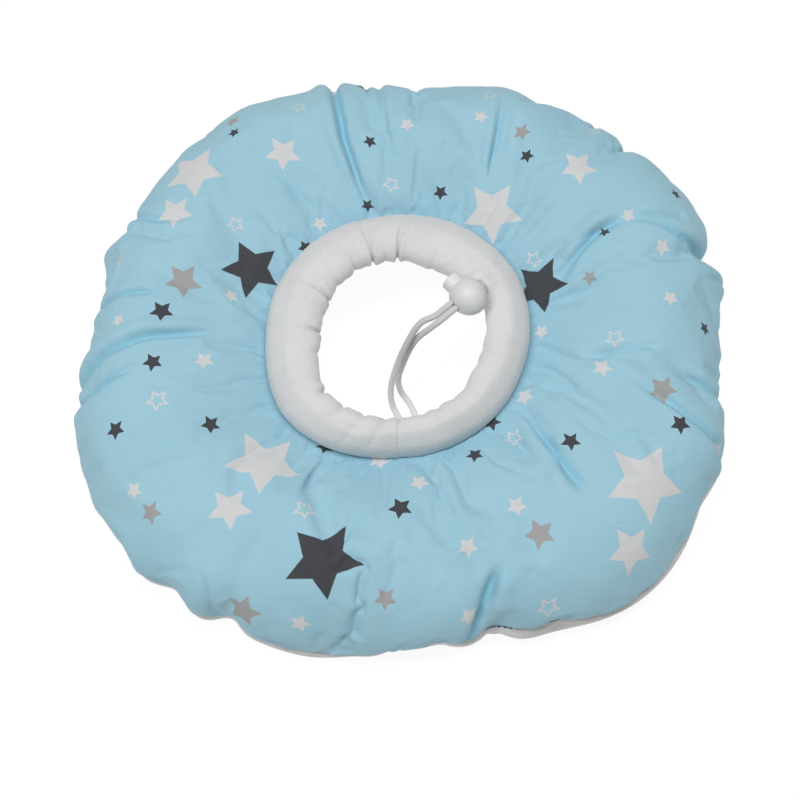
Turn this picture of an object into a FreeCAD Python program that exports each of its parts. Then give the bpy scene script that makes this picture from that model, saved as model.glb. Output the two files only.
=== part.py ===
import FreeCAD, Part
import math
import os
from FreeCAD import Matrix, Placement, Vector

# Soft padded collar: a stuffed ring of printed cotton with a gathered fleece neck band,
# a drawstring and a sprung ball lock.  Millimetres, +Z up.  The origin is the middle of
# the underside, on the surface that the collar lies on.

# stuffed ring
WIDTH_X = 322.0
WIDTH_Y = 301.0
SQUARENESS = 2.55        # exponent of the rounded-square outline
SEAM_Z = 18.0            # height of the outer seam
CREST_Z = 54.5           # highest line of the stuffed ring
COVER_T = 1.0            # cloth with its seam allowance
COVER_GAP = 0.3          # between the cloth and the filling
SEAM_GAP = 1.0           # from each cover's edge to the seam line
NECK_SEAM_GAP = 0.6
BASE_TRIM = 0.3          # cut off the underside, which leaves it flat
SECTIONS = 24            # sections of each loft

# neck opening, a little off the middle of the ring
NECK_X = -2.6
NECK_Y = -2.9
NECK_SEAM_R = 66.0
NECK_SEAM_Z = 41.0

# neck band: a tube of folded fleece
BAND_R = 53.0
BAND_Z = 49.0
BAND_HALF_W = 11.5
BAND_HALF_H = 12.0
BAND_T = 1.6
BAND_END_SEAM_DEG = 270.0

THREAD_R = 0.4
NECK_THREAD_R = NECK_SEAM_R - 0.7
GROOVE_R = 0.5

# drawstring
CORD_D = 3.2
CORD_APART = 3.4         # between the two strands inside the lock
LOCK_BACK = 11.6         # from the lock's middle back to the bend into the buttonhole
STRAND_DROP = Vector(1.8, 1.0, -4.4)
CHANNEL_R = 48.0
CHANNEL_Z = 53.0
CHANNEL_POINTS = 18
CHANNEL_DROP = 3.0       # from the buttonhole down to the channel
FLOOR_LIE = CORD_D / 2 + 0.2
KNOT_HALF_LENGTH = 5.0
KNOT_R = 3.8
KNOT_ENTRY_Z = 3.2
KNOT_SINK = 1.0          # how far the cord's end goes into its knot

# cord lock.  Its own axes: X along the strands, Y up, Z along the plunger
LOCK_AT = Vector(29.35, 11.73, 61.0)
LOCK_TURN_DEG = 223.6    # heading of the strands where they leave the lock
LOCK_TILT_DEG = 5.0      # how much they rise there
BALL_R = 9.0
BALL_BELOW = 10.0        # half length of the ball under its middle
BALL_MIDDLE = -0.8
BALL_TOP = 6.1
BORE_R = 5.25
BORE_FLOOR = -6.5
POCKET_R = 2.9
POCKET_FLOOR = -9.0
PLUNGER_R = 5.1
PLUNGER_BOTTOM = -4.4
PLUNGER_TOP = 11.7
PLUNGER_TRAVEL = 2.0
PLUNGER_EDGE = 0.8
CORD_HOLE_HALF_W = 3.55
CORD_HOLE_HALF_H = 1.9
PLUNGER_HOLE_END = 3.4
SPRING_WIRE_R = 0.25
SPRING_R = 2.3
SPRING_TURNS = 3
SPRING_END_GAP = 0.1

TURN = math.radians(LOCK_TURN_DEG)
TILT = math.radians(LOCK_TILT_DEG)
ALONG = Vector(math.cos(TURN) * math.cos(TILT), math.sin(TURN) * math.cos(TILT), math.sin(TILT))
ACROSS = Vector(math.sin(TURN), -math.cos(TURN), 0)
UP = ACROSS.cross(ALONG)


def strand_point(along, side):
    """A point on a strand's straight stretch through the lock."""
    return LOCK_AT + ALONG * along + ACROSS * (side * CORD_APART / 2)


# Routes of the two free ends: out of the buttonhole, straight through the lock, then a
# limp fall to the surface inside the neck opening, and along it under the front rim.
LEFT_ROUTE = [
    strand_point(-LOCK_BACK, 1) + STRAND_DROP,
    strand_point(-LOCK_BACK, 1),
    strand_point(20.0, 1),
    Vector(7.2, -2.4, 61.2),
    Vector(2.3, -6.8, 53.5),
    Vector(-2.6, -11.8, 41.0),
    Vector(-6.2, -16.6, 28.0),
    Vector(-7.9, -20.4, 14.5),
    Vector(-6.6, -23.8, 4.0),
    Vector(-3.4, -28.8, FLOOR_LIE),
    Vector(-0.5, -38.0, FLOOR_LIE),
    Vector(-2.0, -47.0, KNOT_ENTRY_Z),
]
RIGHT_ROUTE = [
    strand_point(-LOCK_BACK, -1) + STRAND_DROP,
    strand_point(-LOCK_BACK, -1),
    strand_point(19.0, -1),
    Vector(10.6, -5.0, 57.0),
    Vector(5.2, -6.2, 50.0),
    Vector(1.5, -8.1, 40.0),
    Vector(-1.6, -10.8, 28.0),
    Vector(-4.0, -13.0, 16.5),
    Vector(-3.0, -15.6, 6.0),
    Vector(2.2, -20.6, FLOOR_LIE),
    Vector(5.8, -29.5, FLOOR_LIE),
    Vector(6.0, -38.5, FLOOR_LIE),
    Vector(10.5, -46.0, KNOT_ENTRY_Z),
]


def outline_r(t):
    """Radius of the rounded-square outline at angle t."""
    across = abs(math.cos(t) / (WIDTH_X / 2)) ** SQUARENESS
    deep = abs(math.sin(t) / (WIDTH_Y / 2)) ** SQUARENESS
    return (across + deep) ** (-1 / SQUARENESS)


def place(t, r, z):
    """A point of the section at angle t, centred on the neck at its inner end."""
    share = min((outline_r(t) - r) / (outline_r(t) - NECK_SEAM_R), 1)
    return Vector(r * math.cos(t) + NECK_X * share, r * math.sin(t) + NECK_Y * share, z)


def top_line(t):
    """Upper surface of the ring, from the outer seam to the neck seam, as (r, z)."""
    r = outline_r(t)
    return [
        (r, SEAM_Z + SEAM_GAP),
        (r - 4, 31),
        (r - 15, 44),
        (r - 34, 52.5),
        (111, CREST_Z),
        (90, 52),
        (75, 47),
        (NECK_SEAM_R, NECK_SEAM_Z + NECK_SEAM_GAP),
    ]


def wall_line(t):
    """Underside next to the outer seam, down to the surface it rests on."""
    r = outline_r(t)
    return [(r, SEAM_Z - SEAM_GAP), (r - 3, 9), (r - 12, 2.4), (r - 27, 0)]


def throat_line(t):
    """Underside next to the neck, up from the surface to the neck seam."""
    return [(96, 0), (82, 4), (72.5, 15), (68, 28), (NECK_SEAM_R, NECK_SEAM_Z - NECK_SEAM_GAP)]


def inset(line, depth):
    """The same line, moved depth to its left, where the filling is."""
    moved = []
    for i, (r, z) in enumerate(line):
        before = line[max(i - 1, 0)]
        after = line[min(i + 1, len(line) - 1)]
        dr, dz = after[0] - before[0], after[1] - before[1]
        size = math.hypot(dr, dz)
        moved.append((r - dz / size * depth, z + dr / size * depth))
    return moved


def curve(points, start=None, end=None):
    """A smooth curve through points; start or end sets its heading there."""
    spline = Part.BSplineCurve()
    if start or end:
        start = start or points[1] - points[0]
        end = end or points[-1] - points[-2]
        spline.interpolate(points, InitialTangent=start, FinalTangent=end)
    else:
        spline.interpolate(points)
    return spline.toShape()


def straight(a, b):
    return Part.LineSegment(a, b).toShape()


def placed(t, line):
    return [place(t, r, z) for r, z in line]


def ring_loft(section):
    """A closed ring through the wires that section(t) gives."""
    wires = [section(2 * math.pi * i / SECTIONS) for i in range(SECTIONS)]
    return Part.makeLoft(wires, True, False, True)


def under_line(t, depth):
    """Wall, flat base and throat as three lines, moved depth inwards."""
    wall = inset(wall_line(t), -depth)
    throat = inset(throat_line(t), -depth)
    wall[-1] = (wall[-1][0], depth)
    throat[0] = (throat[0][0], depth)
    return wall, throat


def top_section(t):
    outer = placed(t, top_line(t))
    inner = placed(t, inset(top_line(t), COVER_T))
    edges = [curve(outer), straight(outer[-1], inner[-1])]
    edges += [curve(inner[::-1]), straight(inner[0], outer[0])]
    return Part.Wire(edges)


def back_section(t):
    wall, throat = under_line(t, 0)
    wall[-1] = (wall[-1][0], -BASE_TRIM)
    throat[0] = (throat[0][0], -BASE_TRIM)
    wall_in, throat_in = under_line(t, COVER_T)
    a, b = placed(t, wall), placed(t, throat)
    c, d = placed(t, wall_in), placed(t, throat_in)
    inward = a[-1] * -1
    inward.z = 0
    outward = inward * -1
    edges = [curve(a, end=inward), straight(a[-1], b[0])]
    edges += [curve(b, start=inward), straight(b[-1], d[-1])]
    edges += [curve(d[::-1], end=outward), straight(d[0], c[-1])]
    edges += [curve(c[::-1], start=outward), straight(c[0], a[0])]
    return Part.Wire(edges)


def back_cover():
    floor = Part.makeBox(2 * WIDTH_X, 2 * WIDTH_Y, 10, Vector(-WIDTH_X, -WIDTH_Y, -10))
    return ring_loft(back_section).cut(floor)


def filling_section(t):
    depth = COVER_T + COVER_GAP
    upper = placed(t, inset(top_line(t), depth))
    wall, throat = under_line(t, depth)
    a, b = placed(t, wall), placed(t, throat)
    outward = Vector(a[-1].x, a[-1].y, 0)
    edges = [curve(upper), straight(upper[-1], b[-1]), curve(b[::-1], end=outward)]
    edges += [straight(b[0], a[-1]), curve(a[::-1], start=outward), straight(a[0], upper[0])]
    return Part.Wire(edges)


def thread_ring(radius_at, z):
    """One line of stitching laid round the ring."""
    angles = [2 * math.pi * i / SECTIONS for i in range(SECTIONS)]
    line = Part.BSplineCurve()
    line.interpolate([place(t, radius_at(t), z) for t in angles], True)
    path = Part.Wire(line.toShape())
    ring = Part.Wire(Part.Circle(path.Vertexes[0].Point, Vector(0, 1, 0), THREAD_R).toShape())
    return path.makePipeShell([ring], True, False)


def band_ring(half_w, half_h):
    """A ring of elliptical section on the neck's centre."""
    at = Vector(NECK_X + BAND_R, NECK_Y, BAND_Z)
    ellipse = Part.Ellipse(at + Vector(0, 0, half_h), at + Vector(half_w, 0, 0), at)
    face = Part.Face(Part.Wire(ellipse.toShape()))
    return face.revolve(Vector(NECK_X, NECK_Y, 0), Vector(0, 0, 1), 360)


def seam_allowance():
    """The strip's raw edges, which reach out to the neck seam."""
    inner_r, outer_r = BAND_R + BAND_HALF_W - 4, NECK_THREAD_R - THREAD_R - 0.1
    at = Vector(NECK_X, NECK_Y, NECK_SEAM_Z - NECK_SEAM_GAP)
    disc = Part.makeCylinder(outer_r, 2 * NECK_SEAM_GAP, at)
    return disc.cut(Part.makeCylinder(inner_r, 2 * NECK_SEAM_GAP, at))


def band_end_line(radius):
    """The stitching that closes the strip into a ring, over the top of the band."""
    t = math.radians(BAND_END_SEAM_DEG)
    at = Vector(NECK_X + BAND_R * math.cos(t), NECK_Y + BAND_R * math.sin(t), BAND_Z)
    out = Vector(math.cos(t), math.sin(t), 0)

    def rim(a):
        return at + out * (BAND_HALF_W * math.cos(a)) + Vector(0, 0, BAND_HALF_H * math.sin(a))

    path = Part.Wire(curve([rim(math.radians(a)) for a in range(20, 171, 30)]))
    start = path.Edges[0]
    tangent = start.tangentAt(start.FirstParameter)
    ring = Part.Wire(Part.Circle(rim(math.radians(20)), tangent, radius).toShape())
    return path.makePipeShell([ring], True, False)


def rounded_path(points, report=None):
    """Straight runs joined by tangent arcs, each as large as its two runs allow."""
    edges = []
    start = points[0]
    for i in range(1, len(points) - 1):
        back = points[i - 1] - points[i]
        ahead = points[i + 1] - points[i]
        short = 0.45 * min(back.Length, ahead.Length)
        turn = math.pi - back.getAngle(ahead)
        radius = short / math.tan(turn / 2)
        back.normalize()
        ahead.normalize()
        a, b = points[i] + back * short, points[i] + ahead * short
        inward = back + ahead
        inward.normalize()
        middle = points[i] + inward * (radius / math.cos(turn / 2) - radius)
        edges.append(straight(start, a))
        edges.append(Part.Arc(a, middle, b).toShape())
        start = b
        if report:
            print(f"{report}: point {i}, turn {math.degrees(turn):.0f} deg, radius {radius:.1f}")
    edges.append(straight(start, points[-1]))
    return Part.Wire(edges)


def tube(points, radius, report=None):
    path = rounded_path(points, report)
    heading = points[1] - points[0]
    ring = Part.Wire(Part.Circle(points[0], heading, radius).toShape())
    solid = path.makePipeShell([ring], True, False)
    if report:
        share = solid.Volume / (math.pi * radius ** 2 * path.Length)
        print(f"{report}: length {path.Length:.1f}, volume {share:.4f} of section x length")
    return solid


def channel_route():
    """The drawstring's middle, once round inside the band and out to both free ends."""
    left, right = LEFT_ROUTE[0], RIGHT_ROUTE[0]
    middle = (left + right) * 0.5
    exit_deg = math.degrees(math.atan2(middle.y - NECK_Y, middle.x - NECK_X))

    def on_ring(deg):
        t = math.radians(exit_deg + deg)
        return Vector(NECK_X + CHANNEL_R * math.cos(t), NECK_Y + CHANNEL_R * math.sin(t), CHANNEL_Z)

    drop = STRAND_DROP * (CHANNEL_DROP / STRAND_DROP.Length)
    step = 360 / CHANNEL_POINTS
    ring = [on_ring(step * (i + 0.75)) for i in range(CHANNEL_POINTS)][:-1]
    return [left, left + drop] + ring + [right + drop, right]


def knot(route):
    """An overhand knot at the end of a free strand, as a plain ellipsoid."""
    heading = route[-1] - route[-2]
    heading.z = 0
    heading.normalize()
    middle = route[-1] + heading * (KNOT_HALF_LENGTH - KNOT_SINK)
    long_end, side = Vector(KNOT_HALF_LENGTH, 0, 0), Vector(0, KNOT_R, 0)
    half = Part.ArcOfEllipse(Part.Ellipse(long_end, side, Vector()), 0, math.pi).toShape()
    face = Part.Face(Part.Wire([half, straight(long_end * -1, long_end)]))
    ball = face.revolve(Vector(), Vector(1, 0, 0), 360)
    turn = FreeCAD.Rotation(Vector(1, 0, 0), heading)
    ball.Placement = Placement(Vector(middle.x, middle.y, KNOT_R), turn)
    return ball


def on_lock(shape):
    """Moves a shape from the lock's own axes to its place."""
    place_of_lock = Placement(Matrix(
        ALONG.x, UP.x, ACROSS.x, LOCK_AT.x,
        ALONG.y, UP.y, ACROSS.y, LOCK_AT.y,
        ALONG.z, UP.z, ACROSS.z, LOCK_AT.z,
        0, 0, 0, 1))
    shape.Placement = place_of_lock * shape.Placement
    return shape


def cross_slot(low, high, half_h):
    """A round-ended slot along X, from low to high along Z."""
    reach = 2 * BALL_BELOW
    bar = Part.makeBox(2 * reach, 2 * half_h, high - low - 2 * half_h,
                       Vector(-reach, -half_h, low + half_h))
    for z in (low + half_h, high - half_h):
        bar = bar.fuse(Part.makeCylinder(half_h, 2 * reach, Vector(-reach, 0, z), Vector(1, 0, 0)))
    return bar.removeSplitter()


def ball_shell():
    """The lock's ball: round above its middle, a little longer below, flat at the top."""
    middle = Vector(0, 0, BALL_MIDDLE)
    bottom, side = middle - Vector(0, 0, BALL_BELOW), middle + Vector(BALL_R, 0, 0)
    lower = Part.ArcOfEllipse(Part.Ellipse(bottom, side, middle), 0, math.pi / 2).toShape()
    rise = math.asin((BALL_TOP - BALL_MIDDLE) / BALL_R)
    half_way = middle + Vector(math.cos(rise / 2), 0, math.sin(rise / 2)) * BALL_R
    rim = middle + Vector(math.cos(rise), 0, math.sin(rise)) * BALL_R
    upper = Part.Arc(side, half_way, rim).toShape()
    top = Vector(0, 0, BALL_TOP)
    face = Part.Face(Part.Wire([lower, upper, straight(rim, top), straight(top, bottom)]))
    return face.revolve(Vector(), Vector(0, 0, 1), 360)


def lock_body():
    body = ball_shell().cut(Part.makeCylinder(BORE_R, 30, Vector(0, 0, BORE_FLOOR)))
    body = body.cut(Part.makeCylinder(POCKET_R, 10, Vector(0, 0, POCKET_FLOOR)))
    body = body.cut(cross_slot(-CORD_HOLE_HALF_W, CORD_HOLE_HALF_W, CORD_HOLE_HALF_H))
    return on_lock(body)


def lock_plunger():
    rod = Part.makeCylinder(PLUNGER_R, PLUNGER_TOP - PLUNGER_BOTTOM, Vector(0, 0, PLUNGER_BOTTOM))
    top = [e for e in rod.Edges if abs(e.CenterOfMass.z - PLUNGER_TOP) < 1e-6]
    rod = rod.makeFillet(PLUNGER_EDGE, top)
    slot = cross_slot(-PLUNGER_HOLE_END, PLUNGER_HOLE_END + PLUNGER_TRAVEL, CORD_HOLE_HALF_H)
    return on_lock(rod.cut(slot))


def lock_spring():
    low = POCKET_FLOOR + SPRING_WIRE_R + SPRING_END_GAP
    high = PLUNGER_BOTTOM - SPRING_WIRE_R - SPRING_END_GAP
    helix = Part.makeHelix((high - low) / SPRING_TURNS, high - low, SPRING_R)
    ring = Part.Wire(Part.Circle(Vector(SPRING_R, 0, 0), Vector(0, 1, 0), SPRING_WIRE_R).toShape())
    coil = Part.Wire(helix).makePipeShell([ring], True, True)
    coil.translate(Vector(0, 0, low))
    return on_lock(coil)


def buttonhole(radius):
    """The slit for both strands, where they come up through the band."""
    hole = None
    for route in (LEFT_ROUTE, RIGHT_ROUTE):
        rise = route[1] - route[0]
        rise.normalize()
        bar = Part.makeCylinder(radius, 9, route[0] - rise * 2.5, rise)
        hole = bar if hole is None else hole.fuse(bar)
    return hole


def neck_band():
    outer = band_ring(BAND_HALF_W, BAND_HALF_H).fuse(seam_allowance())
    inner = band_ring(BAND_HALF_W - BAND_T, BAND_HALF_H - BAND_T)
    band = outer.cut(inner).cut(buttonhole(CORD_D / 2 + 0.9))
    return band.cut(band_end_line(GROOVE_R))


def buttonhole_stitching():
    """Close stitching that lines the slit through the band's cloth."""
    cloth = band_ring(BAND_HALF_W, BAND_HALF_H)
    cloth = cloth.cut(band_ring(BAND_HALF_W - BAND_T, BAND_HALF_H - BAND_T))
    ring = buttonhole(CORD_D / 2 + 0.85).cut(buttonhole(CORD_D / 2 + 0.35))
    near = Part.makeSphere(8, LEFT_ROUTE[0])
    return ring.common(cloth).common(near)


def save(name, shape):
    solids = shape.Solids
    whole = solids[0] if len(solids) == 1 else Part.makeCompound(solids)
    print(f"{name}: {len(solids)} solid, valid {whole.isValid()}, volume {whole.Volume:.1f}")
    whole.exportStep(f"parts/{name}.step")
    return whole


def main():
    os.makedirs("parts", exist_ok=True)
    save("top_cover", ring_loft(top_section))
    save("back_cover", back_cover())
    save("filling", ring_loft(filling_section))
    save("neck_band", neck_band())
    save("outer_seam_stitching", thread_ring(lambda t: outline_r(t) - THREAD_R / 2, SEAM_Z))
    save("neck_seam_stitching", thread_ring(lambda t: NECK_THREAD_R, NECK_SEAM_Z))
    save("band_end_stitching", band_end_line(THREAD_R))
    save("buttonhole_stitching", buttonhole_stitching())
    save("drawstring", tube(channel_route(), CORD_D / 2))
    for side, route in (("left", LEFT_ROUTE), ("right", RIGHT_ROUTE)):
        end = knot(route)
        save(f"drawstring_tail_{side}", tube(route, CORD_D / 2, f"tail {side}").cut(end))
        save(f"knot_{side}", end)
    save("cord_lock_body", lock_body())
    save("cord_lock_plunger", lock_plunger())
    save("cord_lock_spring", lock_spring())


main()
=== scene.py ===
import math

import bpy
import numpy as np
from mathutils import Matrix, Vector


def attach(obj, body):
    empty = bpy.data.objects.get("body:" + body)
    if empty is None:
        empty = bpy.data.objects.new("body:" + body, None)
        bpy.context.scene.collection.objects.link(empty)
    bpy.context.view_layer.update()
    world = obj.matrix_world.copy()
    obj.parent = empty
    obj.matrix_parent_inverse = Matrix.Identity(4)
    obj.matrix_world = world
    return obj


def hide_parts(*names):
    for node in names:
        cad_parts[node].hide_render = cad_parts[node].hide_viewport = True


# Soft padded collar: printed ring, gathered fleece neck band, drawstring and ball lock.
# Lengths in this file are millimetres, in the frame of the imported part, unless said.

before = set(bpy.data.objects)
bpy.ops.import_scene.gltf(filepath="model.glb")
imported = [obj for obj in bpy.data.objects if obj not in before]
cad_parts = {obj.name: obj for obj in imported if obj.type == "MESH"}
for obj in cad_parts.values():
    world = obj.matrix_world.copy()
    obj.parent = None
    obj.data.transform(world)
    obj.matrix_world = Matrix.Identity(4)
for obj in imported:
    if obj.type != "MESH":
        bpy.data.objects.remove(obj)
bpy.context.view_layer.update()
scene = bpy.context.scene
MM = 0.001
random = np.random.default_rng(11)

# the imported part's own sizes
NECK = np.array([-2.6, -2.9])
NECK_SEAM_R = 66.0
CORD_D = 3.2
LOCK_AT = np.array([29.35, 11.73, 61.0])
ALONG = np.array([-0.721416, -0.686995, 0.087156])
ACROSS = np.array([-0.68962, 0.724172, 0.0])
STRAND_DROP = np.array([1.8, 1.0, -4.4])


# ---------------------------------------------------------------- camera

def add_camera():
    """A 63 mm lens 0.7 m away, 66 degrees above the surface, with the collar a little high in view."""
    data = bpy.data.cameras.new("camera")
    data.lens = 63
    data.sensor_width = 36
    data.clip_start = 0.01
    data.clip_end = 50
    camera = bpy.data.objects.new("camera", data)
    rise = math.radians(66)
    target = Vector((-0.0028, -0.0047, 0.030))
    camera.location = target + 0.7 * Vector((0, -math.cos(rise), math.sin(rise)))
    camera.rotation_euler = (math.radians(90 - 67.96), 0, 0)
    scene.collection.objects.link(camera)
    scene.camera = camera


add_camera()


# ---------------------------------------------------------------- mesh helpers

def add_mesh(name, points, faces, smooth=True):
    mesh = bpy.data.meshes.new(name)
    mesh.from_pydata((np.asarray(points, float) * MM).tolist(), [], faces)
    mesh.polygons.foreach_set("use_smooth", [smooth] * len(mesh.polygons))
    mesh.update()
    piece = bpy.data.objects.new(name, mesh)
    scene.collection.objects.link(piece)
    return piece


def strip_faces(n_round, n_rows, first=0):
    """Quads of a grid that closes round the ring: n_round columns of n_rows points each."""
    i, j = np.meshgrid(np.arange(n_round), np.arange(n_rows - 1), indexing="ij")
    ahead = (i + 1) % n_round
    quads = np.stack([i * n_rows + j, ahead * n_rows + j, ahead * n_rows + j + 1, i * n_rows + j + 1], -1)
    return (quads.reshape(-1, 4) + first).tolist()


def corner_vectors(piece, name, values):
    """A vector for each face corner, in the order of the mesh's loops."""
    attribute = piece.data.attributes.new(name, "FLOAT_VECTOR", "CORNER")
    attribute.data.foreach_set("vector", np.asarray(values, np.float32).ravel())


def point_values(piece, name, values):
    attribute = piece.data.attributes.new(name, "FLOAT", "POINT")
    attribute.data.foreach_set("value", np.asarray(values, np.float32).ravel())


def point_vectors(piece, name, values):
    attribute = piece.data.attributes.new(name, "FLOAT_VECTOR", "POINT")
    attribute.data.foreach_set("vector", np.asarray(values, np.float32).ravel())


def loop_vertices(piece):
    found = np.zeros(len(piece.data.loops), np.int32)
    piece.data.loops.foreach_get("vertex_index", found)
    return found


def smooth_line(points, per_run=10):
    """Catmull-Rom through the points."""
    p = np.asarray(points, float)
    p = np.vstack([2 * p[0] - p[1], p, 2 * p[-1] - p[-2]])
    t = np.linspace(0, 1, per_run, endpoint=False)[:, None]
    runs = []
    for i in range(1, len(p) - 2):
        a, b, c, d = p[i - 1], p[i], p[i + 1], p[i + 2]
        runs.append(0.5 * (2 * b + (c - a) * t + (2 * a - 5 * b + 4 * c - d) * t ** 2
                           + (3 * b - a - 3 * c + d) * t ** 3))
    return np.vstack(runs + [p[-2][None]])


def even(points, count):
    """count points at even distances along a line, and the distances."""
    steps = np.linalg.norm(np.diff(points, axis=0), axis=1)
    at = np.concatenate([[0], np.cumsum(steps)])
    want = np.linspace(0, at[-1], count)
    return np.stack([np.interp(want, at, points[:, k]) for k in range(points.shape[1])], -1), want


def finer(grid, count, axis, closed):
    """Cubic resampling of a grid along one axis to count samples."""
    a = np.moveaxis(grid, axis, 0)
    n = len(a)
    if closed:
        x = np.arange(count) * n / count
        pick = lambda k: a[k % n]
    else:
        x = np.linspace(0, n - 1, count)
        pick = lambda k: a[np.clip(k, 0, n - 1)]
    i = np.floor(x).astype(int)
    f = (x - i).reshape((-1,) + (1,) * (a.ndim - 1))
    p0, p1, p2, p3 = pick(i - 1), pick(i), pick(i + 1), pick(i + 2)
    out = 0.5 * (2 * p1 + (p2 - p0) * f + (2 * p0 - 5 * p1 + 4 * p2 - p3) * f ** 2
                 + (3 * p1 - p0 - 3 * p2 + p3) * f ** 3)
    return np.moveaxis(out, 0, axis)


def around(table, deg):
    """A smooth value round the ring from (degrees, value) pairs."""
    at = np.array([p[0] for p in table], float)
    value = np.array([p[1] for p in table], float)
    at = np.concatenate([at - 360, at, at + 360])
    value = np.tile(value, 3)
    fine = np.arange(-180, 540, 1.0)
    raw = np.interp(fine, at, value)
    kernel = np.exp(-np.linspace(-2, 2, 13) ** 2)
    raw = np.convolve(raw, kernel / kernel.sum(), "same")
    return np.interp(np.mod(deg, 360), fine, raw)


def off(deg, centre):
    """Signed difference of two angles in degrees."""
    return (deg - centre + 180) % 360 - 180


def grid_normals(p):
    """Outward normals of a grid closed round the ring (axis 0), with rows from seam to seam."""
    du = np.roll(p, -1, 0) - np.roll(p, 1, 0)
    dv = np.gradient(p, axis=1)
    n = np.cross(du, dv)
    return n / np.maximum(np.linalg.norm(n, axis=-1, keepdims=True), 1e-9)


def tube_mesh(name, line, radius, sides=14):
    """A round tube along a line with closed rounded ends, with its lay as a corner vector."""
    line = np.asarray(line, float)
    steps = np.gradient(line, axis=0)
    steps /= np.linalg.norm(steps, axis=1, keepdims=True)
    side = np.cross(steps[0], [0.3, 0.2, 1.0])
    rings, length = [], np.concatenate([[0], np.cumsum(np.linalg.norm(np.diff(line, axis=0), axis=1))])
    turn = np.arange(sides) * 2 * math.pi / sides
    for at, heading in zip(line, steps):
        side = side - heading * (side @ heading)
        side /= np.linalg.norm(side)
        up = np.cross(heading, side)
        rings.append(at + radius * (np.cos(turn)[:, None] * side + np.sin(turn)[:, None] * up))
    points = np.vstack(rings + [line[:1] - steps[:1] * radius * 0.5, line[-1:] + steps[-1:] * radius * 0.5])
    n = len(line)
    faces, lay = [], []
    for i in range(n - 1):
        for k in range(sides):
            m = (k + 1) % sides
            faces.append([i * sides + k, i * sides + m, (i + 1) * sides + m, (i + 1) * sides + k])
            a, b = k / sides, (k + 1) / sides
            lay += [(a, length[i], 0), (b, length[i], 0), (b, length[i + 1], 0), (a, length[i + 1], 0)]
    for k in range(sides):
        m = (k + 1) % sides
        faces.append([m, k, n * sides])
        faces.append([(n - 1) * sides + k, (n - 1) * sides + m, n * sides + 1])
        lay += [(0, 0, 0)] * 3 + [(0, length[-1], 0)] * 3
    piece = add_mesh(name, points, faces)
    corner_vectors(piece, "lay", lay)
    return piece


# ---------------------------------------------------------------- cords

def strand_point(along, side):
    return LOCK_AT + ALONG * along + ACROSS * (side * 1.7)


# the visible points began as rays cast through points on the photo, at guessed heights
LEFT_ROUTE = [
    strand_point(-11.6, 1) + STRAND_DROP,
    strand_point(-10.8, 1) - (0, 0, 4.8),
    strand_point(-7.8, 1),
    strand_point(-5.0, 1),
    strand_point(13.5, 1),
    strand_point(20.0, 1),
    (7.2, -2.4, 61.2),
    (2.3, -6.8, 53.5),
    (-2.6, -11.8, 41.0),
    (-6.2, -16.6, 28.0),
    (-7.9, -20.4, 14.5),
    (-6.6, -23.8, 4.0),
    (-3.4, -28.8, 1.8),
    (-0.5, -38.0, 1.8),
    (-2.0, -47.0, 3.2),
]
RIGHT_ROUTE = [
    strand_point(-11.6, -1) + STRAND_DROP,
    strand_point(-10.8, -1) - (0, 0, 4.8),
    strand_point(-7.8, -1),
    strand_point(-5.0, -1),
    strand_point(12.4, -1),
    strand_point(19.0, -1),
    (10.6, -5.0, 57.0),
    (5.2, -6.2, 50.0),
    (1.5, -8.1, 40.0),
    (-1.6, -10.8, 28.0),
    (-4.0, -13.0, 16.5),
    (-3.0, -15.6, 6.0),
    (2.2, -20.6, 1.8),
    (5.8, -29.5, 1.8),
    (6.0, -38.5, 1.8),
    (10.5, -46.0, 3.2),
]


def spline_line(route, resolution=14):
    """Points of the smooth curve whose control points are the route."""
    curve = bpy.data.curves.new("route", "CURVE")
    curve.dimensions = "3D"
    curve.resolution_u = resolution
    spline = curve.splines.new("NURBS")
    spline.points.add(len(route) - 1)
    for point, at in zip(spline.points, route):
        point.co = (at[0] * MM, at[1] * MM, at[2] * MM, 1)
    spline.order_u = 3
    spline.use_endpoint_u = True
    holder = bpy.data.objects.new("route", curve)
    scene.collection.objects.link(holder)
    mesh = bpy.data.meshes.new_from_object(holder)
    line = np.array([v.co for v in mesh.vertices]) / MM
    bpy.data.objects.remove(holder)
    return line


def overhand_knot(name, end, ahead):
    """A tight overhand knot in the same cord: one turn round itself and through."""
    heading = np.array([ahead[0], ahead[1], 0.0])
    heading /= np.linalg.norm(heading)
    side = np.array([-heading[1], heading[0], 0.0])
    up = np.array([0, 0, 1.0])
    middle = np.array([end[0], end[1], 3.8]) + heading * 4.1
    turns = [(-3.4, 0.2, -0.5), (-2.2, -0.9, 0.6), (-0.6, -1.9, 0.9), (1.2, -1.3, 1.6), (1.9, 0.5, 1.2),
             (0.9, 1.8, -0.2), (-0.9, 1.7, -1.2), (-1.9, 0.2, -1.4), (-1.1, -1.5, -1.2), (0.6, -1.4, -1.3),
             (1.4, 0.0, -0.2), (1.9, 1.0, -0.6), (2.9, 0.7, -0.9)]
    route = [middle + (heading * a + side * b + up * c) * 1.28 for a, b, c in turns]
    return tube_mesh(name, spline_line(route, 8), 1.5)


def channel_route(inner_table):
    """The held middle of the cord, once round inside the band and up to both free ends."""
    left, right = LEFT_ROUTE[0], RIGHT_ROUTE[0]
    drop = STRAND_DROP * 0.6
    ring = []
    for step in range(23):
        deg = 29.6 + (step + 0.9) * 360 / 23.8
        r, t = float(around(inner_table, deg)) + 6.5, math.radians(deg)
        ring.append((NECK[0] + r * math.cos(t), NECK[1] + r * math.sin(t), 50.5))
    return [left, left + drop] + ring + [right + drop, right]


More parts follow.
